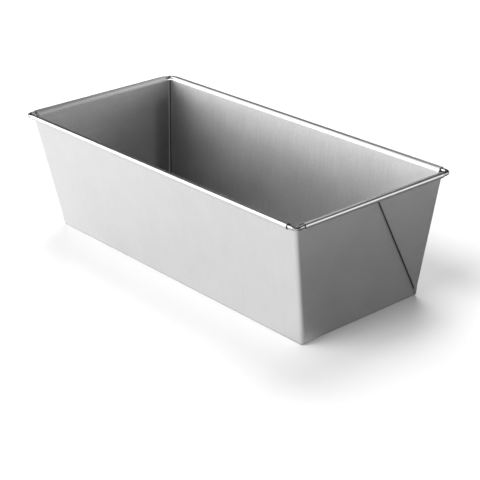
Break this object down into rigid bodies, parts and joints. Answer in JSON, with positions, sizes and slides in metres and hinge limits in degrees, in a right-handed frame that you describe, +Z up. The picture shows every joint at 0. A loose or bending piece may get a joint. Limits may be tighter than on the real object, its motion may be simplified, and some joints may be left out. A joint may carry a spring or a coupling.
{
  "type": "loaf cake pan",
  "caption": "Long open cake pan folded from sheet steel, with a flat floor, outward-leaning walls, folded corner webs against the ends and a rim rolled over a wire.",
  "frame": {"origin": "middle of the underside of the floor, on the plane that the pan stands on", "axes": "+X along the long side walls, +Y across the pan towards the other long wall, +Z up out of the open mouth"},
  "size_m": [0.2572, 0.1168, 0.0767],
  "materials": {
    "aluminised_sheet": "satin",
    "wire_steel": "satin"
  },
  "bodies": {
    "root": {"pan_body": "aluminised_sheet", "rim_wire": "wire_steel"}
  },
  "joints": []
}
